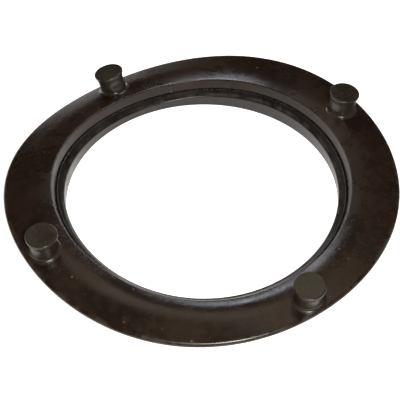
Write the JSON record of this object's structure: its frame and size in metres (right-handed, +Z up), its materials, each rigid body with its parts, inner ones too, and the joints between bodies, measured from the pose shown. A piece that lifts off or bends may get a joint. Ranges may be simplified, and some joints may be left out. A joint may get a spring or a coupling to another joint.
{
  "type": "toilet flange seal",
  "caption": "Soft rubber floor seal for a toilet flange: a thin ring with mushroom studs around a deeper stepped collar that lines the waste opening.",
  "frame": {"origin": "centre of the collar's lower rim, which the seal lies on", "axes": "+Z up along the waste opening's axis; one stud each towards +X, +Y, -X and -Y"},
  "size_m": [0.146, 0.1462, 0.0214],
  "materials": {
    "ring_rubber": "matte, slightly dusty",
    "collar_rubber": "satin",
    "stud_rubber": "matte, slightly dusty"
  },
  "bodies": {
    "root": {"flange_ring": "ring_rubber", "inner_collar": "collar_rubber", "stud_right": "stud_rubber", "stud_back": "stud_rubber", "stud_left": "stud_rubber", "stud_front": "stud_rubber"}
  },
  "joints": []
}
